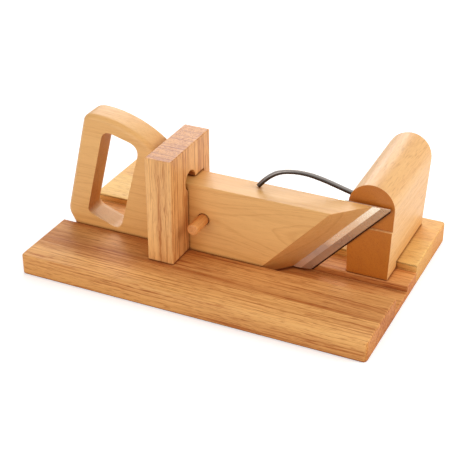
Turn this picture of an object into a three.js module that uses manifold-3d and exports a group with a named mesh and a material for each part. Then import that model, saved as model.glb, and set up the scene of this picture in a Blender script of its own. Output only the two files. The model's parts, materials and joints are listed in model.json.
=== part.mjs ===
// A sausage guillotine. A slotted upright and a stop block stand on a wooden board, and an arm
// with a hand grip slides between them in a groove, carrying a slanted blade past the block's face.
// Lengths are in millimetres. +Z is up, +X is the way the arm is pushed to cut, and the origin is
// the centre of the board's underside.

import * as THREE from "three";
import { mergeVertices } from "three/addons/utils/BufferGeometryUtils.js";
import Module from "manifold-3d";

const wasm = await Module();
wasm.setup();

// Clearances
const seatGap = 0.3;
const armSideGap = 0.4;
const armFloorGap = 0.3;
const armTopGap = 0.8;
const bladeGap = 0.4;
const pinGap = 0.5;

// Board and the stepped channel that runs along it: a deep groove and a shallow bed behind it
const boardLength = 300;
const boardWidth = 200;
const boardThickness = 18;
const boardCornerRadius = 4;
const boardEdgeEase = 1.4;
const channelNearSetback = 33.4;
const grooveDepth = 12;
const bedDepth = 6.2;
const bedWidth = 23.7;
const channelArris = 0.8;

// Upright
const uprightThickness = 22.8;
const uprightSetback = 98.2;
const frontCheekDepth = 28.6;
const backCheekDepth = 10.7;
const uprightTopRise = 30.4;
const uprightEase = 0.8;
const reliefRadius = 8.5;
const reliefSetIn = 4.9;

// Arm, with its end cut on a slant and bevelled from the front
const armThickness = 26.6;
const armHeight = 72.2;
const armTipPastBlockCentre = 3.4;
const armEase = 0.8;
const edgeAngle = THREE.MathUtils.degToRad(47.3);
const endBevelRun = 25.8;

// Hand grip at the arm's other end
const gripLength = 94;
const gripHeight = 115.2;
const gripRounding = 5;
const gripOverlap = 12;
const gripOutlineShares = {
  heel: [-0.8, 0],
  heelPull: [-0.877, 0],
  heelEnd: [-0.918, 0.062],
  toe: [-0.975, 0.147],
  toePull: [-1, 0.183],
  toeEnd: [-0.988, 0.225],
  browStart: [-0.779, 0.945],
  browPull: [-0.763, 1],
  browEnd: [-0.67, 1],
  crownPull: [-0.44, 1],
  fallPull: [-0.165, 0.91],
  shoulder: [0, 0.77],
};
const fingerHoleShares = [[-0.781, 0.215], [-0.448, 0.114], [-0.214, 0.826], [-0.573, 0.903]];
const fingerHoleCornerCuts = [5, 9, 11, 9];
const fingerHoleBackRounding = 10;

// Blade
const bladeThickness = 2;
const bladeShow = 12.5;
const bladeSeat = 22;
const bladeGroundWidth = 7.4;
const bladeEdgeThickness = 0.25;
const bladeEndInset = 1;
const bladeTipCut = 3;

// Stop block, whose arch climbs to the back, with its sides drawn in towards the foot
const blockSetback = 15.8;
const blockWidth = 38.6;
const blockFrontSetIn = 1.2;
const blockBackSetback = 11.7;
const blockShoulderHeight = 56;
const blockRise = 3.8;
const blockFootSetIn = 1.7;
const blockBackLean = 6.4;
const blockEase = 0.6;
const ledgeHeight = 37.5;
const ledgeDepth = 1.8;

// Hold-down wire, bent in an upright plane from the block's side to the top of the arm
const wireRadius = 2;
const wireHoleDepth = 11;
const wireSeatY = 3;
const wireSeatAboveShoulder = 7.1;
const wireReach = 71.8;
const wireTipSetIn = 9.4;
const wireCrown = 14.6;
const wireSteps = 30;
const wireSides = 12;
const wireRunShares = [0.13, 0.32, 0.5, 0.66, 0.78, 0.88, 0.95];
const wireRiseShares = [0.28, 0.67, 0.94, 1, 0.9, 0.62, 0.3];

// Lock pin
const pinRadius = 4.8;
const pinLength = 40;
const pinDepth = 20;
const pinFromUpright = 13.3;
const pinHeight = 42.5;
const pinChamfer = 0.7;

// Countersunk screws
const boardScrew = {
  headRadius: 4,
  headDepth: 2.2,
  shankRadius: 1.9,
  length: 38,
  sink: 0.5,
  slotWidth: 1,
  slotDepth: 1.1,
};
const bladeScrew = {
  headRadius: 3.1,
  headDepth: 1.3,
  shankRadius: 1.5,
  length: 13,
  sink: 0.2,
  slotWidth: 0.8,
  slotDepth: 0.7,
};
const frontScrewSetIns = [8, 20];
const blockScrewShares = [0.41, 0.85];
const bladeScrewCount = 3;
const bladeScrewFromEnd = 13;

// Roundness and cutting
const roundSides = 32;
const smallRoundSides = 16;
const curveSteps = 12;
const easeSteps = 2;
const roundingSteps = 4;
const cutOverrun = 5;

// Places that follow from the sizes
const nearWallY = -channelNearSetback;
const armBackY = nearWallY + armSideGap + armThickness;
const bladeBackY = armBackY + seatGap + bladeThickness;
const riserY = bladeBackY + bladeGap;
const bedFarY = riserY + bedWidth;
const grooveZ = boardThickness - grooveDepth;
const bedZ = boardThickness - bedDepth;
const armBottomZ = grooveZ + armFloorGap;
const armTopZ = armBottomZ + armHeight;
const uprightCentreX = -boardLength / 2 + uprightSetback + uprightThickness / 2;
const blockCentreX = boardLength / 2 - blockSetback - blockWidth / 2;
const blockFrontY = riserY + blockFrontSetIn;
const blockDepth = boardWidth / 2 - blockBackSetback - blockFrontY;
const shoulderX = uprightCentreX - uprightThickness / 2 - seatGap;
const armReach = blockCentreX + armTipPastBlockCentre - shoulderX;
const edgeSlope = 1 / Math.tan(edgeAngle);
const perEdgeWidth = 1 / Math.sin(edgeAngle);

// A closed geometry as a solid that can be joined and cut
function solidOf(geometry) {
  const bare = geometry.clone();
  bare.deleteAttribute("normal");
  bare.deleteAttribute("uv");
  const merged = mergeVertices(bare, 1e-4);
  return new wasm.Manifold(new wasm.Mesh({
    numProp: 3,
    vertProperties: new Float32Array(merged.attributes.position.array),
    triVerts: new Uint32Array(merged.index.array),
  }));
}

// A solid as a geometry that a mesh can show
function geometryOf(solid) {
  const mesh = solid.getMesh();
  const geometry = new THREE.BufferGeometry();
  geometry.setAttribute("position", new THREE.BufferAttribute(mesh.vertProperties, 3));
  geometry.setIndex(new THREE.BufferAttribute(mesh.triVerts, 1));
  geometry.computeVertexNormals();
  return geometry;
}

// An outline, with its edges eased all round, as a slab between zero and its thickness along Z
function slab(outline, thickness, ease, steps) {
  if (ease === 0) {
    return new THREE.ExtrudeGeometry(outline, { depth: thickness, bevelEnabled: false, curveSegments: curveSteps });
  }
  const geometry = new THREE.ExtrudeGeometry(outline, {
    depth: thickness - 2 * ease,
    bevelThickness: ease,
    bevelSize: ease,
    bevelOffset: -ease,
    bevelSegments: steps,
    curveSegments: curveSteps,
  });
  return geometry.translate(0, 0, ease);
}

// What rounds over the back edge of a hole through an upright slab whose back face is at zero
function flare(outline, radius) {
  const turns = Array.from({ length: roundingSteps + 1 }, (_, step) => (step / roundingSteps) * (Math.PI / 2));
  const rings = turns.map((turn) => [radius * (1 - Math.cos(turn)), radius * (1 - Math.sin(turn))]);
  const steps = rings.slice(1).map(([wide, shallow], index) => {
    const [narrow, deep] = rings[index];
    const geometry = new THREE.ExtrudeGeometry(outline, {
      depth: radius + cutOverrun,
      bevelThickness: deep - shallow,
      bevelSize: wide - narrow,
      bevelOffset: narrow,
      bevelSegments: 1,
      curveSegments: curveSteps,
    });
    return solidOf(geometry.rotateX(Math.PI / 2).translate(0, radius + cutOverrun - shallow, 0));
  });
  return wasm.Manifold.union(steps);
}

// An X-Z outline as a slab that reaches from zero towards the front
function uprightSlab(outline, thickness, ease, steps) {
  return slab(outline, thickness, ease, steps).rotateX(Math.PI / 2);
}

// A Y-Z outline as a bar along +X
function barAlongX(outline, length, ease, steps) {
  return slab(outline, length, ease, steps).rotateZ(Math.PI / 2).rotateY(Math.PI / 2);
}

// A box between two corners
function boxBetween(low, high) {
  const size = high.map((value, axis) => value - low[axis]);
  const middle = high.map((value, axis) => (value + low[axis]) / 2);
  return solidOf(new THREE.BoxGeometry(...size).translate(...middle));
}

function shapeFrom(points) {
  return new THREE.Shape(points.map(([x, y]) => new THREE.Vector2(x, y)));
}

// A polygon whose corners are cut back by the given lengths and curved
function curvedPolygon(corners, cuts) {
  const points = corners.map(([x, y]) => new THREE.Vector2(x, y));
  const shape = new THREE.Shape();
  points.forEach((corner, index) => {
    const before = points[(index + points.length - 1) % points.length];
    const after = points[(index + 1) % points.length];
    const into = corner.clone().addScaledVector(before.clone().sub(corner).normalize(), cuts[index]);
    const out = corner.clone().addScaledVector(after.clone().sub(corner).normalize(), cuts[index]);
    if (index === 0) {
      shape.moveTo(into.x, into.y);
    } else {
      shape.lineTo(into.x, into.y);
    }
    shape.quadraticCurveTo(corner.x, corner.y, out.x, out.y);
  });
  shape.closePath();
  return shape;
}

// A rod along +Y from zero
function rod(radius, length, chamfer) {
  const profile = [[0, 0], [radius - chamfer, 0], [radius, chamfer], [radius, length - chamfer]];
  profile.push([radius - chamfer, length], [0, length]);
  return new THREE.LatheGeometry(profile.map(([r, y]) => new THREE.Vector2(r, y)), roundSides);
}

// A countersunk screw along +Y with its head's face at zero
function screw(size) {
  const { headRadius, headDepth, shankRadius, length, slotWidth, slotDepth } = size;
  const profile = [[0, 0], [headRadius, 0], [shankRadius, headDepth]];
  profile.push([shankRadius, length - 2 * shankRadius], [0, length]);
  const points = profile.map(([r, y]) => new THREE.Vector2(r, y));
  const body = solidOf(new THREE.LatheGeometry(points, smallRoundSides));
  const arm = headRadius - slotWidth;
  const slotLow = -cutOverrun;
  const across = boxBetween([-arm, slotLow, -slotWidth / 2], [arm, slotDepth, slotWidth / 2]);
  const along = boxBetween([-slotWidth / 2, slotLow, -arm], [slotWidth / 2, slotDepth, arm]);
  return body.subtract(across.add(along));
}

// The hole that a screw sits in, open past the surface that its head is sunk in
function screwHole(size) {
  const { headRadius, headDepth, shankRadius, length } = size;
  const wideRadius = headRadius + seatGap;
  const narrowRadius = shankRadius + seatGap;
  const profile = [[0, -cutOverrun], [wideRadius, -cutOverrun], [wideRadius, 0]];
  profile.push([narrowRadius, headDepth], [narrowRadius, length + seatGap], [0, length + seatGap]);
  return new THREE.LatheGeometry(profile.map(([r, y]) => new THREE.Vector2(r, y)), smallRoundSides);
}

// A screw or its hole, turned to point up from the board's underside at a place
function fromBelow(geometry, place) {
  return geometry.rotateX(Math.PI / 2).translate(place.x, place.y, place.z);
}

const wood = {
  board: new THREE.MeshStandardMaterial({ color: 0xc58548, roughness: 0.55, flatShading: true }),
  upright: new THREE.MeshStandardMaterial({ color: 0xc98c54, roughness: 0.55, flatShading: true }),
  arm: new THREE.MeshStandardMaterial({ color: 0xd7a35e, roughness: 0.5, flatShading: true }),
  block: new THREE.MeshStandardMaterial({ color: 0xd59a57, roughness: 0.5, flatShading: true }),
  pin: new THREE.MeshStandardMaterial({ color: 0xc98550, roughness: 0.55, flatShading: true }),
};
const steel = {
  blade: new THREE.MeshStandardMaterial({ color: 0xb4b2ae, roughness: 0.28, metalness: 1, flatShading: true }),
  wire: new THREE.MeshStandardMaterial({ color: 0x8c8a86, roughness: 0.3, metalness: 1 }),
  screw: new THREE.MeshStandardMaterial({ color: 0xa8a7a3, roughness: 0.35, metalness: 1, flatShading: true }),
};

// A named mesh from a solid or a geometry
function piece(name, form, material) {
  const geometry = form.isBufferGeometry ? form : geometryOf(form);
  const mesh = new THREE.Mesh(geometry, material);
  mesh.name = name;
  return mesh;
}

// Screws that hold the upright and the block, each at the middle of what it enters
const frontCheekFrontY = nearWallY - frontCheekDepth;
const backCheekBackY = riserY + backCheekDepth;
const frontScrewYs = frontScrewSetIns.map((setIn) => frontCheekFrontY + setIn);
const uprightScrewYs = [...frontScrewYs, (riserY + backCheekBackY) / 2];
const screwZ = boardScrew.sink;
const uprightScrewPlaces = uprightScrewYs.map((y) => new THREE.Vector3(uprightCentreX, y, screwZ));
const blockScrewYs = blockScrewShares.map((share) => blockFrontY + share * blockDepth);
const blockScrewPlaces = blockScrewYs.map((y) => new THREE.Vector3(blockCentreX, y, screwZ));
const boardScrewPlaces = [...uprightScrewPlaces, ...blockScrewPlaces];

function cutBoardScrewHoles(solid) {
  return boardScrewPlaces.reduce(
    (cut, place) => cut.subtract(solidOf(fromBelow(screwHole(boardScrew), place))),
    solid,
  );
}

function makeBoard() {
  const halfLength = boardLength / 2;
  const halfWidth = boardWidth / 2;
  const corners = [[-halfLength, -halfWidth], [halfLength, -halfWidth], [halfLength, halfWidth]];
  corners.push([-halfLength, halfWidth]);
  const plan = curvedPolygon(corners, corners.map(() => boardCornerRadius));
  const blank = solidOf(slab(plan, boardThickness, boardEdgeEase, roundingSteps));
  const top = boardThickness;
  const channel = shapeFrom([
    [nearWallY, grooveZ],
    [riserY, grooveZ],
    [riserY, bedZ - channelArris],
    [riserY + channelArris, bedZ],
    [bedFarY, bedZ],
    [bedFarY, top - channelArris],
    [bedFarY + channelArris, top],
    [bedFarY + channelArris, top + cutOverrun],
    [nearWallY - channelArris, top + cutOverrun],
    [nearWallY - channelArris, top],
    [nearWallY, top - channelArris],
  ]);
  const cutLength = boardLength + 2 * cutOverrun;
  const channelCut = barAlongX(channel, cutLength, 0, 0).translate(-cutLength / 2, 0, 0);
  return piece("base_board", cutBoardScrewHoles(blank.subtract(solidOf(channelCut))), wood.board);
}

function makeUpright() {
  const leftX = uprightCentreX - uprightThickness / 2;
  const topZ = armTopZ + armTopGap + uprightTopRise;
  const side = shapeFrom([
    [frontCheekFrontY, bedZ + seatGap],
    [backCheekBackY, bedZ + seatGap],
    [backCheekBackY, topZ],
    [frontCheekFrontY, topZ],
  ]);
  const blank = solidOf(barAlongX(side, uprightThickness, uprightEase, easeSteps).translate(leftX, 0, 0));
  const cutLeft = leftX - cutOverrun;
  const cutRight = leftX + uprightThickness + cutOverrun;
  const floorZ = bedZ - cutOverrun;
  const ceilingZ = armTopZ + armTopGap;
  const slot = boxBetween([cutLeft, nearWallY, floorZ], [cutRight, riserY, ceilingZ]);
  const foot = boxBetween(
    [cutLeft, frontCheekFrontY - cutOverrun, floorZ],
    [cutRight, nearWallY + seatGap, boardThickness + seatGap],
  );
  const relief = rod(reliefRadius, cutRight - cutLeft, 0)
    .rotateZ(-Math.PI / 2)
    .translate(cutLeft, nearWallY + reliefSetIn, ceilingZ);
  const shaped = blank.subtract(slot).subtract(foot).subtract(solidOf(relief));
  return piece("guide_upright", cutBoardScrewHoles(shaped), wood.upright);
}

function makeBlock() {
  const radius = blockWidth / 2;
  const arcZ = boardThickness + blockShoulderHeight;
  const lowZ = bedZ - blockRise - cutOverrun;
  const highZ = arcZ + radius + blockRise + cutOverrun;
  const lowHalf = radius - (arcZ - lowZ) * (blockFootSetIn / blockShoulderHeight);
  const arch = new THREE.Shape();
  arch.moveTo(-lowHalf, lowZ);
  arch.lineTo(lowHalf, lowZ);
  arch.lineTo(radius, arcZ);
  arch.absarc(0, arcZ, radius, 0, Math.PI, false);
  arch.closePath();
  const climb = blockRise / blockDepth;
  const lean = blockBackLean / blockShoulderHeight;
  const frontSpare = lean * highZ + cutOverrun;
  const shear = new THREE.Matrix4().set(
    1, 0, 0, 0,
    0, 1, lean, -lean * boardThickness,
    0, climb, 1, -climb * blockFrontY,
    0, 0, 0, 1,
  );
  const blank = solidOf(uprightSlab(arch, blockDepth + frontSpare, blockEase, easeSteps)
    .translate(blockCentreX, blockFrontY + blockDepth, 0)
    .applyMatrix4(shear));
  const cutLeft = blockCentreX - radius - cutOverrun;
  const cutRight = blockCentreX + radius + cutOverrun;
  const cutFrontY = blockFrontY - frontSpare - cutOverrun;
  const cutBackY = blockFrontY + blockDepth + frontSpare;
  const cuts = [
    boxBetween([cutLeft, cutFrontY, lowZ - cutOverrun], [cutRight, cutBackY, bedZ + seatGap]),
    boxBetween([cutLeft, bedFarY - seatGap, lowZ - cutOverrun], [cutRight, cutBackY, boardThickness + seatGap]),
    boxBetween([cutLeft, cutFrontY, bedZ], [cutRight, blockFrontY, highZ]),
    boxBetween([cutLeft, cutFrontY, boardThickness + ledgeHeight], [cutRight, blockFrontY + ledgeDepth, highZ]),
    solidOf(wireHoleGeometry()),
  ];
  return piece("stop_block", cutBoardScrewHoles(cuts.reduce((solid, cut) => solid.subtract(cut), blank)), wood.block);
}

// The wire's path: straight out of the block, over a crown and down to the arm's top
const wireSeatZ = boardThickness + blockShoulderHeight + wireSeatAboveShoulder;
const wireSeatHalf = Math.sqrt((blockWidth / 2) ** 2 - wireSeatAboveShoulder ** 2);
const wireSeat = new THREE.Vector3(blockCentreX - wireSeatHalf, wireSeatY, wireSeatZ);
const wireTipRise = seatGap + wireRadius * Math.SQRT1_2;
const wireTip = new THREE.Vector3(wireSeat.x - wireReach, armBackY - wireTipSetIn, armTopZ + wireTipRise);

function wirePoint(runShare, riseShare) {
  const point = wireSeat.clone().lerp(wireTip, runShare);
  point.z += riseShare * wireCrown;
  return point;
}

const wireWayIn = wireSeat.clone().sub(wirePoint(wireRunShares[0], wireRiseShares[0])).normalize();

function wireHoleGeometry() {
  const geometry = rod(wireRadius + seatGap, wireHoleDepth + cutOverrun + seatGap, 0).translate(0, -cutOverrun, 0);
  geometry.applyQuaternion(new THREE.Quaternion().setFromUnitVectors(new THREE.Vector3(0, 1, 0), wireWayIn));
  return geometry.translate(wireSeat.x, wireSeat.y, wireSeat.z);
}

function makeWire() {
  const inner = wireSeat.clone().addScaledVector(wireWayIn, wireHoleDepth);
  const bends = wireRunShares.map((share, index) => wirePoint(share, wireRiseShares[index]));
  const path = new THREE.CatmullRomCurve3([inner, wireSeat, ...bends, wireTip], false, "centripetal");
  const section = new THREE.Shape().absarc(0, 0, wireRadius, 0, 2 * Math.PI, false);
  const geometry = new THREE.ExtrudeGeometry(section, {
    extrudePath: path,
    steps: wireSteps,
    curveSegments: wireSides,
  });
  return piece("hold_down_wire", solidOf(geometry), steel.wire);
}

// The arm's own frame has its origin at the foot of the grip's shoulder, on the back face
function makeArm(bladeScrewPlaces, pinPlace) {
  const plankOutline = shapeFrom([
    [-gripOverlap, 0],
    [armReach + endBevelRun, 0],
    [armReach + endBevelRun, armHeight],
    [-gripOverlap, armHeight],
  ]);
  const plank = solidOf(uprightSlab(plankOutline, armThickness, armEase, 1));
  const at = ([shareX, shareZ]) => [shareX * gripLength, shareZ * gripHeight];
  const mark = Object.fromEntries(Object.entries(gripOutlineShares).map(([name, share]) => [name, at(share)]));
  const gripOutline = new THREE.Shape();
  gripOutline.moveTo(0, 0);
  gripOutline.lineTo(...mark.shoulder);
  gripOutline.bezierCurveTo(...mark.fallPull, ...mark.crownPull, ...mark.browEnd);
  gripOutline.quadraticCurveTo(...mark.browPull, ...mark.browStart);
  gripOutline.lineTo(...mark.toeEnd);
  gripOutline.quadraticCurveTo(...mark.toePull, ...mark.toe);
  gripOutline.lineTo(...mark.heelEnd);
  gripOutline.quadraticCurveTo(...mark.heelPull, ...mark.heel);
  gripOutline.closePath();
  const grip = solidOf(uprightSlab(gripOutline, armThickness, gripRounding, roundingSteps));
  const holeOutline = curvedPolygon(fingerHoleShares.map(at), fingerHoleCornerCuts);
  const holeLength = armThickness + 2 * cutOverrun;
  const fingerHole = solidOf(uprightSlab(holeOutline, holeLength, 0, 0).translate(0, cutOverrun, 0))
    .add(flare(holeOutline, fingerHoleBackRounding));
  const endCut = solidOf(slantedWedge(armReach, armHeight, endBevelRun, armThickness));
  const pinHole = solidOf(rod(pinRadius + pinGap, pinDepth + pinGap + cutOverrun, 0)
    .translate(pinPlace.x, -armThickness - cutOverrun, pinPlace.z));
  const solid = bladeScrewPlaces.reduce(
    (cut, place) => cut.subtract(solidOf(screwHole(bladeScrew).rotateX(Math.PI).translate(...place.toArray()))),
    plank.subtract(endCut).add(grip.subtract(fingerHole)).subtract(pinHole),
  );
  return piece("slide_arm", solid, wood.arm);
}

// What a slanted end loses: everything past a plane that leans with the cutting edge, reaches
// its corner at the given length and height on the back, and falls back by a run at the front
function slantedWedge(length, height, run, thickness) {
  const lean = run / thickness;
  const foot = length - height * edgeSlope;
  const far = length + height;
  const plan = shapeFrom([
    [foot + cutOverrun * lean, cutOverrun],
    [foot - run - cutOverrun * lean, -thickness - cutOverrun],
    [far, -thickness - cutOverrun],
    [far, cutOverrun],
  ]);
  const tall = height + 2 * cutOverrun;
  const geometry = slab(plan, tall, 0, 0).translate(0, 0, -cutOverrun);
  const shear = new THREE.Matrix4().set(1, 0, edgeSlope, 0, 0, 1, 0, 0, 0, 0, 1, 0, 0, 0, 0, 1);
  return geometry.applyMatrix4(shear);
}

// Lines along the arm's height that run with the cutting edge, at a length past the wood's end
function edgeLineX(past, z) {
  return armReach - (armHeight - z) * edgeSlope + past * perEdgeWidth;
}

function makeBlade(bladeScrewPlaces) {
  const low = bladeEndInset;
  const high = armHeight - bladeEndInset;
  const outline = shapeFrom([
    [edgeLineX(-bladeSeat, low), low],
    [edgeLineX(bladeShow, low), low],
    [edgeLineX(bladeShow, high - bladeTipCut), high - bladeTipCut],
    [edgeLineX(bladeShow, high) - bladeTipCut, high],
    [edgeLineX(-bladeSeat, high), high],
  ]);
  const blank = solidOf(uprightSlab(outline, bladeThickness, 0, 0).translate(0, bladeThickness, 0));
  const groundDrop = bladeThickness - bladeEdgeThickness;
  const groundRun = bladeGroundWidth * perEdgeWidth;
  const foot = edgeLineX(bladeShow, 0);
  const lean = groundDrop / groundRun;
  const plan = shapeFrom([
    [foot - groundRun - cutOverrun, -cutOverrun * lean],
    [foot - groundRun - cutOverrun, -cutOverrun],
    [foot + cutOverrun, -cutOverrun],
    [foot + cutOverrun, groundDrop + cutOverrun * lean],
  ]);
  const shear = new THREE.Matrix4().set(1, 0, edgeSlope, 0, 0, 1, 0, 0, 0, 0, 1, 0, 0, 0, 0, 1);
  const grind = solidOf(slab(plan, armHeight, 0, 0).applyMatrix4(shear));
  const solid = bladeScrewPlaces.reduce(
    (cut, place) => cut.subtract(solidOf(screwHole(bladeScrew)
      .rotateX(Math.PI)
      .translate(place.x, place.y - seatGap, place.z))),
    blank.subtract(grind),
  );
  return piece("blade", solid, steel.blade);
}

// Fixed pieces
const guillotine = new THREE.Group();
guillotine.name = "sausage_guillotine";
guillotine.add(makeBoard(), makeUpright(), makeBlock(), makeWire());
[["upright_screw", uprightScrewPlaces], ["block_screw", blockScrewPlaces]].forEach(([name, places]) => {
  places.forEach((place, index) => {
    const mesh = piece(`${name}_${index + 1}`, screw(boardScrew), steel.screw);
    mesh.rotation.x = Math.PI / 2;
    mesh.position.copy(place);
    guillotine.add(mesh);
  });
});

// Sliding pieces
const slide = new THREE.Group();
slide.position.set(shoulderX, armBackY, armBottomZ);
const headY = seatGap + bladeThickness - bladeScrew.sink;
const screwSpan = armHeight - 2 * bladeScrewFromEnd;
const bladeScrewPlaces = Array.from({ length: bladeScrewCount }, (_, index) => {
  const z = bladeScrewFromEnd + (index * screwSpan) / (bladeScrewCount - 1);
  return new THREE.Vector3(edgeLineX(-bladeSeat / 2 - bladeScrew.headRadius, z), headY, z);
});
const pinPlace = new THREE.Vector3(uprightThickness + seatGap + pinFromUpright, -armThickness + pinDepth, pinHeight);
slide.add(makeArm(bladeScrewPlaces, pinPlace));
const blade = makeBlade(bladeScrewPlaces);
blade.position.y = seatGap;
slide.add(blade);
bladeScrewPlaces.forEach((place, index) => {
  const mesh = piece(`blade_screw_${index + 1}`, screw(bladeScrew), steel.screw);
  mesh.rotation.x = Math.PI;
  mesh.position.copy(place);
  slide.add(mesh);
});
const pin = piece("lock_pin", rod(pinRadius, pinLength, pinChamfer), wood.pin);
pin.position.set(pinPlace.x, pinPlace.y - pinLength, pinPlace.z);
slide.add(pin);
guillotine.add(slide);

export default guillotine;
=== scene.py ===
"""Finishes a wooden sausage guillotine: figured wood, ground steel, softened edges, light and a camera."""
import json
import math
import bmesh
import bpy
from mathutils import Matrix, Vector


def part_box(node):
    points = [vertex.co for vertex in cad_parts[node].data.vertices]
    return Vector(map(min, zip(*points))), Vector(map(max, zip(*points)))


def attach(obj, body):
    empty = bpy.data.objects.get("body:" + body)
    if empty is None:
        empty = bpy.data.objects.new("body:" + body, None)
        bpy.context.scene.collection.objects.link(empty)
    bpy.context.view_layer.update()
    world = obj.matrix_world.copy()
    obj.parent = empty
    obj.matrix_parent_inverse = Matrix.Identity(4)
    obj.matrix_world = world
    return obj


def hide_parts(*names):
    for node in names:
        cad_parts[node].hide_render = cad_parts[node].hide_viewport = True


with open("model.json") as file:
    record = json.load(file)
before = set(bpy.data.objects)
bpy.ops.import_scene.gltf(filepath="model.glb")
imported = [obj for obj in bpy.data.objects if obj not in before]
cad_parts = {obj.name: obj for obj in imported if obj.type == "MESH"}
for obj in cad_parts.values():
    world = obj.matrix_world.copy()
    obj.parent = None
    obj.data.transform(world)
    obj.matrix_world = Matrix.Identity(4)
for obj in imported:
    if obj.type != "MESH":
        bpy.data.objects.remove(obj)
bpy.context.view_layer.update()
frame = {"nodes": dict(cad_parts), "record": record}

MM = 0.001
X, Y, Z = range(3)
record = frame["record"]
body_of = {node: body for body, nodes in record["behaviour"]["bodies"].items() for node in nodes}
slot_of = {part["node"]: part["material_slot"] for part in record["subparts"]}
white = (1, 1, 1, 1)

# The curve of screen colours: it is straight up to its foot, and follows a power above that
foot, foot_slope, curve_shift, curve_power = 0.04045, 12.92, 0.055, 2.4


def linear(level):
    """The share of light that a screen colour's level stands for."""
    if level <= foot:
        return level / foot_slope
    return ((level + curve_shift) / (1 + curve_shift)) ** curve_power


def card(red, green, blue):
    """A colour from a paint card, 0 to 255, as the linear colour that shaders take."""
    return (linear(red / 255), linear(green / 255), linear(blue / 255), 1.0)


def add_object(name, data):
    made = bpy.data.objects.new(name, data)
    bpy.context.scene.collection.objects.link(made)
    return made


class Nodes:
    """Builds a tree of nodes."""

    def __init__(self, tree):
        self.tree = tree

    def feed(self, socket, value):
        """Links a value that is a socket, or each one of a list, and sets any other."""
        for single in value if isinstance(value, list) else [value]:
            if isinstance(single, bpy.types.NodeSocket):
                self.tree.links.new(single, socket)
            else:
                socket.default_value = single

    def node(self, kind, inputs, **settings):
        """A new node. A short kind is a shader's."""
        made = self.tree.nodes.new(kind if "Node" in kind else "ShaderNode" + kind)
        for name, value in settings.items():
            setattr(made, name, value)
        for key, value in inputs.items():
            self.feed(made.inputs[key], value)
        return made

    def maths(self, operation, *values):
        return self.node("Math", dict(enumerate(values)), operation=operation).outputs[0]

    def vector(self, operation, *values):
        made = self.node("VectorMath", dict(enumerate(values)), operation=operation)
        return made.outputs["Value" if operation in ("LENGTH", "DOT_PRODUCT") else "Vector"]

    def across(self, x, y, z):
        return self.node("CombineXYZ", {0: x, 1: y, 2: z}).outputs[0]

    def axis(self, vector, name):
        return self.node("SeparateXYZ", {0: vector}).outputs[name]

    def span(self, value, low, high, out_low=0.0, out_high=1.0):
        """A smooth change from out_low to out_high, while the value goes from low to high."""
        inputs = {0: value, 1: low, 2: high, 3: out_low, 4: out_high}
        return self.node("MapRange", inputs, interpolation_type="SMOOTHSTEP").outputs[0]


class Recipe(Nodes):
    """A material's nodes."""

    def __init__(self, name):
        self.material = bpy.data.materials.new(name)
        self.material.use_nodes = True
        super().__init__(self.material.node_tree)
        self.shader = self.tree.nodes["Principled BSDF"]

    def turned(self, vector, degrees, centre=(0, 0), vector_type="POINT"):
        """A vector turned about X, Y and Z, and then counted from the centre."""
        angles = tuple(math.radians(angle) for angle in degrees)
        inputs = {0: vector, 1: (-centre[0], -centre[1], 0), 2: angles}
        return self.node("Mapping", inputs, vector_type=vector_type).outputs[0]

    def noise(self, vector, rate, detail=2.0):
        """Noise that changes rate times in a metre along each axis."""
        scaled = self.vector("MULTIPLY", vector, rate)
        return self.node("TexNoise", {"Vector": scaled, "Scale": 1.0, "Detail": detail}).outputs["Fac"]

    def swing(self, value, amount):
        """A value around a half as one around zero, that reaches the amount either way."""
        return self.maths("MULTIPLY", self.maths("SUBTRACT", value, 0.5), 2 * amount)

    def ramp(self, value, stops):
        """A grey level for each value, with easy changes between the stops."""
        made = self.node("ValToRGB", {0: value})
        made.color_ramp.interpolation = "EASE"
        elements = made.color_ramp.elements
        while len(elements) < len(stops):
            elements.new(0.5)
        for element, (place, level) in zip(elements, stops):
            element.position = place
            element.color = (level, level, level, 1)
        return made.outputs["Color"]

    def mix(self, factor, first, second, blend="MIX"):
        made = self.node("Mix", {0: factor, 6: first, 7: second}, data_type="RGBA", blend_type=blend)
        return made.outputs[2]

    def tinted(self, colour, tint):
        return self.mix(1.0, colour, tint, "MULTIPLY")

    def brighten(self, colour, factor):
        return self.node("VectorMath", {0: colour, "Scale": factor}, operation="SCALE").outputs["Vector"]


# Timber's figure: how often each part of it changes in a metre, twice across the grain and then along it
bend_rate = (24, 24, 4.5)
ripple_rate = (120, 120, 26)
band_rate = (75, 75, 3)
streak_rate = (460, 460, 9)
vein_rate = (700, 700, 11)
fleck_rate = (1300, 1300, 110)
fibre_rate = (2400, 2400, 70)

# A year's growth: how often its width changes from year to year and by how much, how dark it is before its
# late wood and the share of it at which it is darkest, and how dark a poor and a rich year turn out
year_rate, year_drift = 0.45, 1.5
early_level, late_peak = 0.08, 0.9
year_span, year_levels = (0.1, 1), (0.15, 1)

# What all the timbers share. A span holds the levels of noise between which a part of the figure comes up,
# and fine noise has more detail than the rest
ripple_share = 0.16
band_share = 1.3
plain_depth = 0.32
vein_span = (0.54, 0.64)
fleck_span = (0.52, 0.68)
fleck_tint = card(190, 150, 118)
fleck_pit = 0.7
fibre_shade = 0.06
streak_span, streak_dulls = (0.2, 0.8), (-0.05, 0.1)
grain_bite, grain_height = 0.2, 0.12 * MM
fine = 3.0

# End grain: how far a face leans towards the grain where its tint starts and where it is full
end_span = (0.45, 0.97)

# A dark year's full depth takes this share of its width, and it follows this share of the rings' bend
seam_core, seam_bend = 0.2, 0.25

# How far apart along X, Y and Z the staves' cuts of timber can lie
stave_shift = (0.9, 0.03, 0.02)

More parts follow.
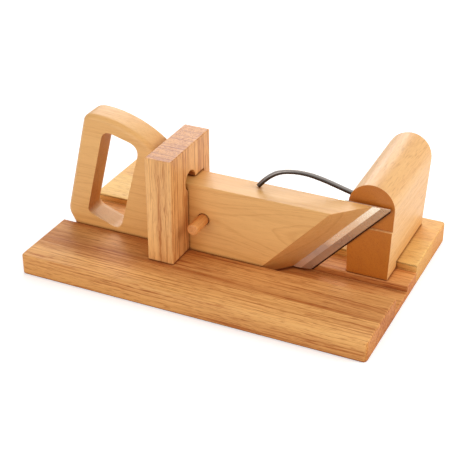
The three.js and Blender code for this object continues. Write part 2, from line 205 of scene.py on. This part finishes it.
# Painted shade in joints, corners and hollows, darker where ambient occlusion finds little open sky: how far
# it looks, the shares of open sky between which the painted shade fades, its tint, and how much duller it
# makes the surface. The board gets more of this painted shade than the pieces on it. sky_samples is how many
# rays look for open sky.
contact_shade = (3 * MM, 0.35, 0.9, (0.48, 0.3, 0.17, 1), 0.4)
piece_hollow_shade = (22 * MM, 0.3, 0.85, (0.97, 0.87, 0.65, 1), 0.0)
upright_hollow_shade = (22 * MM, 0.3, 0.85, (0.98, 0.9, 0.76, 1), 0.0)
board_hollow_shade = (45 * MM, 0.3, 0.8, (0.76, 0.6, 0.4, 1), 0.15)
sky_samples = 8


def stave_looks(recipe, place, joints, looks):
    """Gives each glued stave, counted along Y between the joints, its own cut of timber, tint and figure;
    the tints carry painted light too.
    """
    across = recipe.axis(place, "Y")
    count = 0.0
    for joint in joints:
        count = recipe.maths("ADD", recipe.maths("GREATER_THAN", across, joint), count)
    pick = recipe.node("TexWhiteNoise", {"W": count}, noise_dimensions="1D").outputs["Color"]
    half = (0.5, 0.5, 0.5)
    shift = recipe.vector("MULTIPLY", recipe.vector("SUBTRACT", pick, half), stave_shift)
    look = recipe.node("ValToRGB", {0: recipe.maths("DIVIDE", count, len(looks))})
    look.color_ramp.interpolation = "CONSTANT"
    elements = look.color_ramp.elements
    while len(elements) < len(looks):
        elements.new(0.5)
    for index, (element, (tint, figure)) in enumerate(zip(elements, looks)):
        element.position = max(0.0, (index - 0.5) / len(looks))
        element.color = (*tint, figure)
    return recipe.vector("ADD", place, shift), look.outputs["Color"], look.outputs["Alpha"]


def growth_rings(recipe, bole, bend, ripple, ring_gap, late_from, eye):
    """How dark the year's growth is at each place, by the distance from the tree's heart."""
    radius = recipe.vector("LENGTH", recipe.vector("MULTIPLY", bole, (1, 1, 0)))
    radius = recipe.maths("ADD", recipe.maths("ADD", radius, bend), ripple)
    if eye:
        nearest, reach, rise = eye
        along = recipe.maths("SUBTRACT", recipe.axis(bole, "Z"), nearest)
        radius = recipe.maths("ADD", radius, recipe.span(recipe.maths("ABSOLUTE", along), 0, reach, 0, rise))
    count = recipe.maths("DIVIDE", radius, ring_gap)
    years = recipe.node("TexNoise", {"W": recipe.maths("MULTIPLY", count, year_rate)}, noise_dimensions="1D")
    count = recipe.maths("ADD", count, recipe.swing(years.outputs["Fac"], year_drift))
    growth = [(0, 0), (late_from, early_level), (late_peak, 1), (1, 0)]
    season = recipe.ramp(recipe.maths("FRACT", count), growth)
    year = recipe.node("TexWhiteNoise", {"W": recipe.maths("FLOOR", count)}, noise_dimensions="1D")
    return recipe.maths("MULTIPLY", season, recipe.span(year.outputs["Value"], *year_span, *year_levels))


def dark_seams(recipe, rings, place, bend, ripple, seams):
    """The rings with dark years among them, which keep level across the timber."""
    drift = recipe.maths("ADD", recipe.maths("MULTIPLY", bend, seam_bend), ripple)
    across = recipe.maths("ADD", recipe.axis(place, "Y"), drift)
    for seam, half_width, deep in seams:
        off = recipe.maths("ABSOLUTE", recipe.maths("SUBTRACT", across, seam))
        dark = recipe.span(off, seam_core * half_width, half_width, deep, 0.0)
        rings = recipe.maths("MAXIMUM", rings, dark)
    return rings


def end_grain(recipe, colour, normal, turn, end_tint):
    """The colour with a tint on faces that are cut across the grain."""
    end = recipe.maths("ABSOLUTE", recipe.axis(recipe.turned(normal, turn, vector_type="VECTOR"), "Z"))
    return recipe.mix(recipe.span(end, *end_span), colour, recipe.tinted(colour, end_tint))


def with_painted_shade(recipe, colour, dull, hollow_shade):
    """The colour with painted shade in the joints and hollows, and the dullness raised there."""
    for reach, closed, clear_from, shade, matt in (contact_shade, hollow_shade):
        # Painted shade: the colour darkens where ambient occlusion finds little open sky
        sky = recipe.node("AmbientOcclusion", {"Distance": reach}, samples=sky_samples).outputs["AO"]
        clear = recipe.span(sky, closed, clear_from)
        colour = recipe.tinted(colour, recipe.mix(clear, shade, white))
        shaded_share = recipe.maths("SUBTRACT", 1.0, clear)
        dull = recipe.maths("ADD", dull, recipe.maths("MULTIPLY", shaded_share, matt))
    return colour, dull


def wood(name, early, late, turn, pith, ring_gap, ring_show, streak_show, fleck_show, end_tint, wander,
         staves=None, dullness=0.4, polish=0.45, late_from=0.45, vein_show=0.1, sway_share=0.24,
         eye=None, seams=(), hollow_shade=piece_hollow_shade):
    """Timber with its grain along one axis. turn brings the grain to Z, and pith is the tree's heart then.

    early and late are the colours of a year's growth, and late_from the share of it where late wood starts.
    Each show is how strong a part of the figure is, dullness how matt the surface is, and polish its sheen.
    wander is how far the rings stray, and sway_share is the share of it by which the streaks do.
    eye is where along the grain the rings come nearest, how far they take to draw back, and by how much.
    seams are dark years that keep level across the timber: each has its place along Y, half its width
    and its depth.
    """
    recipe = Recipe(name)
    spot = recipe.node("TexCoord", {})
    place, figure = spot.outputs["Object"], 1.0
    if staves:
        place, tint, figure = stave_looks(recipe, place, *staves)
    bole = recipe.turned(place, turn, pith)
    bend = recipe.swing(recipe.noise(bole, bend_rate), wander)
    ripple = recipe.swing(recipe.noise(bole, ripple_rate), ripple_share * wander)
    rings = growth_rings(recipe, bole, bend, ripple, ring_gap, late_from, eye)
    rings = recipe.maths("MULTIPLY", rings, figure)
    if seams:
        rings = dark_seams(recipe, rings, place, bend, ripple, seams)
    sway = recipe.maths("MULTIPLY", ripple, sway_share / ripple_share)
    waving = recipe.vector("ADD", bole, recipe.across(sway, sway, 0.0))
    streak = recipe.noise(waving, streak_rate, fine)
    vein = recipe.span(recipe.noise(waving, vein_rate), *vein_span)
    fleck = recipe.span(recipe.noise(waving, fleck_rate), *fleck_span)
    fibre = recipe.noise(bole, fibre_rate, fine)
    bands = recipe.swing(recipe.noise(bole, band_rate), band_share * streak_show)
    lines = recipe.maths("ADD", recipe.swing(streak, streak_show), bands)
    lines = recipe.maths("MULTIPLY_ADD", vein, vein_show, lines)
    depth = recipe.maths("MULTIPLY_ADD", lines, figure, plain_depth)
    depth = recipe.maths("MULTIPLY_ADD", rings, ring_show, depth)
    colour = recipe.mix(recipe.span(depth, 0, 1), early, late)
    colour = recipe.brighten(colour, recipe.maths("ADD", recipe.swing(fibre, fibre_shade), 1.0))
    flecked = recipe.maths("MULTIPLY", fleck, fleck_show)
    colour = recipe.mix(flecked, colour, recipe.tinted(colour, fleck_tint))
    # The stave tints carry painted light: a painted shadow in front of the arm and painted sheen on the rear
    # staves
    if staves:
        colour = recipe.tinted(colour, tint)
    colour = end_grain(recipe, colour, spot.outputs["Normal"], turn, end_tint)
    dull = recipe.span(streak, *streak_span, *[dullness + change for change in streak_dulls])
    # Painted shade in the joints and hollows, which also makes them duller
    colour, dull = with_painted_shade(recipe, colour, dull, hollow_shade)
    height = recipe.maths("SUBTRACT", fibre, recipe.maths("MULTIPLY", fleck, fleck_pit))
    bump = recipe.node("Bump", {"Height": height, "Strength": grain_bite, "Distance": grain_height})
    recipe.shader.inputs["Specular IOR Level"].default_value = polish
    recipe.feed(recipe.shader.inputs["Base Color"], colour)
    recipe.feed(recipe.shader.inputs["Roughness"], dull)
    recipe.feed(recipe.shader.inputs["Normal"], bump.outputs["Normal"])
    return recipe.material


# Steel's figure: the tones of its lines and how high they stand, how often its gloss changes in a metre and
# by how much. A span holds the levels of noise between which the change is made
line_span, line_tones, line_height = (0.2, 0.8), (0.9, 1.08), 0.02 * MM
cloud_rate, cloud_span, cloud_dull = (90, 90, 90), (0.3, 0.7), 0.07


def steel(name, colour, roughness, turn, lines, bite, side=None, rim=None, metallic=1.0):
    """Ground or drawn steel, whose fine lines run along Z once turned.

    lines is how often they change in a metre along each axis then, and bite is how strongly they show.
    side is a way that faces can lean, the shares of lean between which the tone changes, and the tone there.
    rim is a way across the piece, the distances that way between which the tone changes, and the tone past
    them, which is painted shade along an edge.
    """
    recipe = Recipe(name)
    spot = recipe.node("TexCoord", {})
    place = spot.outputs["Object"]
    line = recipe.noise(recipe.turned(place, turn), lines, fine)
    cloud = recipe.noise(place, cloud_rate)
    tone = colour[:3]
    if side:
        way, low, high, other = side
        lean = recipe.vector("DOT_PRODUCT", spot.outputs["Normal"], way)
        tone = recipe.mix(recipe.span(lean, low, high), colour, other)
    if rim:
        way, start, full, other = rim
        tone = recipe.mix(recipe.span(recipe.vector("DOT_PRODUCT", place, way), start, full), tone, other)
    tone = recipe.brighten(tone, recipe.span(line, *line_span, *line_tones))
    dull = recipe.span(cloud, *cloud_span, roughness, roughness + cloud_dull)
    bump = recipe.node("Bump", {"Height": line, "Strength": bite, "Distance": line_height})
    recipe.shader.inputs["Metallic"].default_value = metallic
    recipe.feed(recipe.shader.inputs["Base Color"], tone)
    recipe.feed(recipe.shader.inputs["Roughness"], dull)
    recipe.feed(recipe.shader.inputs["Normal"], bump.outputs["Normal"])
    return recipe.material


def part_way(node, share):
    """The place along Y that is a share of the way from a piece's front to its back."""
    front, back = (corner[Y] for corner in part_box(node))
    return front + share * (back - front)


# The board is glued from five staves: where they meet, and the tint of each and how much figure it shows.
# The tints are partly the staves' own tones and partly painted light: the stave just in front of the arm is
# darkened as a painted shadow of the arm, and the two rear staves are paled as painted sheen.
stave_joints = [part_way("base_board", share) for share in (0.145, 0.335, 0.5975, 0.81)]
stave_tones_and_painted_light = (((1.05, 1.09, 1.07), 1), ((0.94, 0.9, 0.84), 1), ((1.1, 1.1, 1.12), 0.8),
               ((1.22, 1.6, 1.72), 0.15), ((1.18, 1.42, 1.55), 0.15))
board_wood = wood(
    "board_wood", early=card(232, 172, 104), late=card(182, 108, 52), turn=(0, -90, 0), pith=(50 * MM, 0),
    ring_gap=6 * MM, ring_show=0.34, streak_show=0.42, fleck_show=0.5, end_tint=card(238, 216, 184),
    wander=6 * MM, staves=(stave_joints, stave_tones_and_painted_light), dullness=0.52, polish=0.26, vein_show=0.42,
    hollow_shade=board_hollow_shade)

# The upright's dark years: the share of the way to its back, half the width in mm, and the depth
year_marks = ((0.07, 0.8, 0.8), (0.16, 0.7, 0.45), (0.3, 0.6, 1.0), (0.37, 1.1, 0.4),
              (0.6, 0.7, 0.8), (0.69, 0.6, 0.55), (0.83, 0.6, 0.4))
dark_years = [(part_way("guide_upright", share), half_width * MM, deep)
              for share, half_width, deep in year_marks]
upright_wood = wood(
    "upright_wood", early=card(243, 188, 120), late=card(178, 106, 46), turn=(0, 0, 0),
    pith=(-40 * MM, 224.5 * MM), ring_gap=11 * MM, ring_show=0.85, streak_show=0.32, fleck_show=0.35,
    end_tint=card(230, 204, 136), wander=2.5 * MM, late_from=0.86, vein_show=0.34, sway_share=1.1,
    seams=dark_years, hollow_shade=upright_hollow_shade)

# The other wooden pieces
arm_wood = wood(
    "arm_wood", early=card(234, 182, 114), late=card(200, 138, 72), turn=(0, -90, 0),
    pith=(-50 * MM, -63 * MM), ring_gap=12 * MM, ring_show=0.22, streak_show=0.13, fleck_show=0.12,
    end_tint=card(228, 200, 168), wander=4 * MM, late_from=0.7, polish=0.38, vein_show=0.06,
    eye=(90 * MM, 100 * MM, 8 * MM))
# The block's end tint darkens its end-grain front partly as end grain's own tone and partly as painted
# shade, where the arm and blade shade it.
block_wood = wood(
    "block_wood", early=card(236, 186, 122), late=card(206, 146, 84), turn=(90, 0, 0),
    pith=(90 * MM, -20 * MM), ring_gap=5 * MM, ring_show=0.12, streak_show=0.13, fleck_show=0.3,
    end_tint=card(208, 158, 76), wander=4 * MM, vein_show=0.06)
pin_wood = wood(
    "pin_wood", early=card(224, 154, 84), late=card(180, 108, 48), turn=(90, 0, 0),
    pith=(10 * MM, -30 * MM), ring_gap=3 * MM, ring_show=0.3, streak_show=0.35, fleck_show=0.4,
    end_tint=card(255, 250, 250), wander=2 * MM)

# The blade's edge: how it leans from the level, the way square across it, how far it reaches that way, and
# where the painted shade along its cutting edge starts and is full, counted back from it
edge_lean = 47.3
past_edge = (math.sin(math.radians(edge_lean)), 0, -math.cos(math.radians(edge_lean)))
edge_reach = max(vertex.co.dot(Vector(past_edge)) for vertex in frame["nodes"]["blade"].data.vertices)
edge_shade_start, edge_shade_full = 1.7 * MM, 0.9 * MM

# Steel pieces
blade_steel = steel(
    "blade_steel", colour=card(255, 246, 226), roughness=0.21, turn=(0, edge_lean - 90, 0),
    lines=(260, 260, 2600), bite=0.25, side=(past_edge, 0.04, 0.1, card(214, 198, 174)),
    rim=(past_edge, edge_reach - edge_shade_start, edge_reach - edge_shade_full, card(70, 44, 26)), metallic=0.72)
# The wire is painted light and shade: its faces turned up are paled as a painted highlight, and those turned
# down are darkened as painted shade.
wire_steel = steel(
    "wire_steel", colour=card(66, 58, 54), roughness=0.14, turn=(0, 90, 0), lines=(1800, 1800, 40),
    bite=0.15, side=((0, 0, 1), 0.1, 0.9, card(160, 152, 146)))
screw_steel = steel(
    "screw_steel", colour=card(190, 188, 184), roughness=0.3, turn=(0, 0, 0), lines=(900, 900, 900),
    bite=0.2)


# Corners nearer than this are one corner, and faces that lean less than this from each other are one face
same_corner = 0.002 * MM
same_face = math.radians(0.5)
arris_steps = 2
largest_face_only = 100


def softened(node, material, ease, least_arris=30):
    """A copy of a piece with its arrises worn round, which stands for the piece.

    least_arris is the least angle between two faces that makes their edge an arris.
    """
    shape = bmesh.new()
    shape.from_mesh(frame["nodes"][node].data)
    bmesh.ops.remove_doubles(shape, verts=shape.verts, dist=same_corner)
    bmesh.ops.dissolve_limit(shape, angle_limit=same_face, verts=shape.verts, edges=shape.edges)
    for face in shape.faces:
        face.smooth = True
    mesh = bpy.data.meshes.new(node + "_finished")
    shape.to_mesh(mesh)
    shape.free()
    mesh.materials.append(material)
    piece = add_object(node + "_finished", mesh)
    bevel = piece.modifiers.new("worn_arris", "BEVEL")
    bevel.width = ease
    bevel.segments = arris_steps
    bevel.limit_method = "ANGLE"
    bevel.angle_limit = math.radians(least_arris)
    # A clamped bevel is as narrow as the shortest edge. Without the clamp, faces of the arm would cross
    bevel.use_clamp_overlap = node == "slide_arm"
    weld = piece.modifiers.new("no_empty_faces", "WELD")
    weld.merge_threshold = same_corner
    shading = piece.modifiers.new("flats_stay_flat", "WEIGHTED_NORMAL")
    shading.mode = "FACE_AREA"
    shading.weight = largest_face_only
    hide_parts(node)
    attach(piece, body_of[node])


# Pieces: what each is made of, how far its arrises are worn, and for the blade how slight an arris can be
finishes = {
    "base_board": (board_wood, 0.5 * MM),
    "guide_upright": (upright_wood, 0.4 * MM),
    "slide_arm": (arm_wood, 0.5 * MM),
    "stop_block": (block_wood, 0.5 * MM),
    "lock_pin": (pin_wood, 0.2 * MM),
    "hold_down_wire": (wire_steel, 0.25 * MM),
    "blade": (blade_steel, 0.06 * MM, 5),
}
for node, finish in finishes.items():
    softened(node, *finish)


# Screws: one tree of Geometry Nodes makes a countersunk screw and sets it at every place of a set
class Tree(Nodes):
    """Geometry Nodes with an input for each size by its name."""

    def __init__(self, name, sizes):
        super().__init__(bpy.data.node_groups.new(name, "GeometryNodeTree"))
        self.names = {}
        sockets = self.tree.interface
        sockets.new_socket("Geometry", in_out="INPUT", socket_type="NodeSocketGeometry")
        for title, value in sizes.items():
            kind = "NodeSocketVector" if isinstance(value, tuple) else "NodeSocketFloat"
            socket = sockets.new_socket(title, in_out="INPUT", socket_type=kind)
            socket.default_value = value
            self.names[title] = socket.identifier
        sockets.new_socket("Geometry", in_out="OUTPUT", socket_type="NodeSocketGeometry")
        self.given = self.tree.nodes.new("NodeGroupInput").outputs
        self.result = self.tree.nodes.new("NodeGroupOutput").inputs

    def lifted(self, mesh, height):
        inputs = {"Geometry": mesh, "Translation": self.across(0.0, 0.0, height)}
        return self.node("GeometryNodeTransform", inputs).outputs[0]


# A screw's form. The core and the point's length are shares of its thread's radius, and the lap of point and
# shank of its core's. The cross is cut by two bars, whose sides are shares of the head's radius, and the
# thread's ridge is a share of its height
core_share, tip_share, lap_share = 0.72, 2.0, 0.3
cross_shares = (1.3, 0.24)
ridge_share = 0.55
head_sides, shank_sides, turn_steps, ridge_sides = 40, 24, 24, 4
spin_most, spin_seed = 1.5, 5


def screw_tree(sizes):
    """A screw along Z with its head's face at zero, at every point it is given."""
    tree = Tree("screw_set", sizes)
    given = tree.given
    head_radius, head_depth = given["Head radius"], given["Head depth"]
    shank_radius, length = given["Shank radius"], given["Length"]
    core = tree.maths("MULTIPLY", shank_radius, core_share)
    tip = tree.maths("MULTIPLY", shank_radius, tip_share)
    lap = tree.maths("MULTIPLY", core, lap_share)

    head = tree.node("GeometryNodeMeshCone", {
        "Vertices": head_sides, "Radius Top": core, "Radius Bottom": head_radius, "Depth": head_depth})
    bars = []
    for shares in (cross_shares, cross_shares[::-1]):
        size = tree.across(*[tree.maths("MULTIPLY", head_radius, share) for share in shares], head_depth)
        bars.append(tree.node("GeometryNodeMeshCube", {"Size": size}).outputs["Mesh"])
    cut = tree.node("GeometryNodeMeshBoolean", {"Mesh 1": head.outputs["Mesh"], "Mesh 2": bars},
                    operation="DIFFERENCE", solver="EXACT")

    shank_length = tree.maths("SUBTRACT", tree.maths("SUBTRACT", length, head_depth), tip)
    lapped_length = tree.maths("ADD", shank_length, lap)
    shank = tree.node("GeometryNodeMeshCylinder", {
        "Vertices": shank_sides, "Radius": core, "Depth": lapped_length})
    point = tree.node("GeometryNodeMeshCone", {
        "Vertices": shank_sides, "Radius Top": 0.0, "Radius Bottom": core,
        "Depth": tree.maths("ADD", tip, lap)})
    shank_end = tree.maths("SUBTRACT", length, tip)
    shank_middle = tree.maths("SUBTRACT", shank_end, tree.maths("MULTIPLY", lapped_length, 0.5))
    point_start = tree.maths("SUBTRACT", shank_end, lap)

    turns = tree.maths("DIVIDE", shank_length, given["Thread pitch"])
    thread_middle = tree.maths("MULTIPLY", tree.maths("ADD", core, shank_radius), 0.5)
    spiral = tree.node("GeometryNodeCurveSpiral", {
        "Resolution": turn_steps, "Rotations": turns, "Start Radius": thread_middle,
        "End Radius": thread_middle, "Height": shank_length})
    thread_height = tree.maths("SUBTRACT", shank_radius, core)
    ridge = tree.node("GeometryNodeCurvePrimitiveCircle", {
        "Resolution": ridge_sides, "Radius": tree.maths("MULTIPLY", thread_height, ridge_share)})
    thread = tree.node("GeometryNodeCurveToMesh", {
        "Curve": spiral.outputs[0], "Profile Curve": ridge.outputs[0], "Fill Caps": True})

    screw = tree.node("GeometryNodeJoinGeometry", {0: [
        cut.outputs[0],
        tree.lifted(shank.outputs["Mesh"], shank_middle),
        tree.lifted(point.outputs["Mesh"], point_start),
        tree.lifted(thread.outputs[0], head_depth)]})
    spin = tree.node("FunctionNodeRandomValue", {"Min": 0.0, "Max": spin_most, "Seed": spin_seed},
                     data_type="FLOAT")
    set_at = tree.node("GeometryNodeInstanceOnPoints", {
        "Points": given["Geometry"], "Instance": screw.outputs[0], "Rotation": given["Turn"]})
    spun = tree.node("GeometryNodeRotateInstances", {
        "Instances": set_at.outputs[0],
        "Rotation": tree.across(0.0, 0.0, next(output for output in spin.outputs if output.enabled)),
        "Local Space": True})
    real = tree.node("GeometryNodeRealizeInstances", {0: spun.outputs[0]})
    coated = tree.node("GeometryNodeSetMaterial", {0: real.outputs[0], "Material": screw_steel})
    tree.feed(tree.result[0], coated.outputs[0])
    return tree


def screw_set(name, nodes, along, form, place_of):
    """Screws of one size on one body, in place of their plain solids, which give their width and length.

    along is the axis they run along, and place_of gives the middle of a head from the corners of its solid.
    """
    low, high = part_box(nodes[0])
    sizes = {"Head radius": (high[X] - low[X]) / 2, "Length": high[along] - low[along], **form}
    mesh = bpy.data.meshes.new(name + "_places")
    mesh.from_pydata([place_of(*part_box(node)) for node in nodes], [], [])
    maker = add_object(name + "_maker", mesh)
    tree = screw_tree(sizes)
    modifier = maker.modifiers.new("screws", "NODES")
    modifier.node_group = tree.tree
    for title, value in sizes.items():
        modifier[tree.names[title]] = value
    view = bpy.context.evaluated_depsgraph_get()
    made = bpy.data.meshes.new_from_object(maker.evaluated_get(view), depsgraph=view)
    maker.modifiers.remove(modifier)
    bpy.data.objects.remove(maker)
    piece = add_object(name, made)
    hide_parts(*nodes)
    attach(piece, body_of[nodes[0]])


def middle(low, high, axis):
    return (low[axis] + high[axis]) / 2


board_screws = [node for node in slot_of if "screw" in node and not node.startswith("blade")]
blade_screws = [node for node in slot_of if node.startswith("blade_screw")]
screw_set("board_screws", board_screws, Z, {
    "Head depth": 2.2 * MM, "Shank radius": 1.9 * MM, "Thread pitch": 2.4 * MM,
    "Turn": (0.0, 0.0, 0.0)},
    lambda low, high: (middle(low, high, X), middle(low, high, Y), low[Z]))
screw_set("blade_screws", blade_screws, Y, {
    "Head depth": 1.3 * MM, "Shank radius": 1.5 * MM, "Thread pitch": 1.4 * MM,
    "Turn": (math.pi / 2, 0.0, 0.0)},
    lambda low, high: (middle(low, high, X), high[Y], middle(low, high, Z)))


# Camera
view_azimuth, view_elevation = math.radians(24.98), math.radians(29.96)
view_distance = 1.0092
view_target = Vector((-2.85 * MM, 0.02 * MM, 20 * MM))
nearest_seen = 10 * MM
picture_side = 470
focal_pixels = 1203.6


def aimed(thing, way):
    """Turns a camera or a lamp to look along a way."""
    thing.rotation_mode = "QUATERNION"
    thing.rotation_quaternion = way.to_track_quat("-Z", "Y")


def make_camera():
    camera = add_object("camera", bpy.data.cameras.new("camera"))
    back = Vector((math.sin(view_azimuth) * math.cos(view_elevation),
                   -math.cos(view_azimuth) * math.cos(view_elevation),
                   math.sin(view_elevation)))
    camera.location = view_target + back * view_distance
    aimed(camera, -back)
    camera.data.lens = camera.data.sensor_width * focal_pixels / picture_side
    camera.data.clip_start = nearest_seen
    bpy.context.scene.camera = camera


# Lamps: where each stands, its width, its power and its colour. All of them face the middle of the piece
lamp_target = Vector((0, 0, 0.03))
lamps = {
    "back": ((-0.6, 1.35, 0.9), 1.2, 13.6, (1, 0.99, 0.98)),
    "side": ((1.3, 0.2, 0.9), 0.9, 13, (1, 0.985, 0.96)),
    "front": ((-0.3, -1.5, 0.4), 1.3, 10.5, (1, 0.99, 0.98)),
}


def make_lamp(name, place, width, power, colour):
    light = add_object(name, bpy.data.lights.new(name, "AREA"))
    light.data.shape = "DISK"
    light.data.size = width
    light.data.energy = power
    light.data.color = colour
    light.location = place
    aimed(light, lamp_target - Vector(place))


# Floor and world. The glow brings the floor to white where the camera or gloss meets it, and the world is
# brighter there than where it lights the piece
floor_width = 8
floor_colour = (0.82, 0.82, 0.82, 1)
floor_roughness = 0.9
floor_glow = 0.42
world_light, world_seen = 0.5, 1.0


def background_ray(nodes):
    """One for rays that should meet a white background: the camera's, and those in gloss or glass."""
    path = nodes.node("LightPath", {})
    seen = nodes.maths("MAXIMUM", path.outputs["Is Camera Ray"], path.outputs["Is Glossy Ray"])
    return nodes.maths("MAXIMUM", seen, path.outputs["Is Transmission Ray"])


def make_floor():
    bpy.ops.mesh.primitive_plane_add(size=floor_width)
    floor = bpy.context.object
    floor.name = "floor"
    recipe = Recipe("floor_white")
    surface = recipe.shader.inputs
    surface["Base Color"].default_value = floor_colour
    surface["Roughness"].default_value = floor_roughness
    surface["Specular IOR Level"].default_value = 0.0
    surface["Emission Color"].default_value = white
    recipe.feed(surface["Emission Strength"], recipe.maths("MULTIPLY", background_ray(recipe), floor_glow))
    floor.data.materials.append(recipe.material)


def make_world():
    world = bpy.data.worlds.new("studio")
    bpy.context.scene.world = world
    world.use_nodes = True
    nodes = Nodes(world.node_tree)
    background = nodes.tree.nodes["Background"].inputs
    background["Color"].default_value = white
    nodes.feed(background["Strength"], nodes.span(background_ray(nodes), 0.0, 1.0, world_light, world_seen))


make_camera()
make_world()
make_floor()
for name, setting in lamps.items():
    make_lamp(name, *setting)
bpy.context.scene.view_settings.view_transform = "Standard"
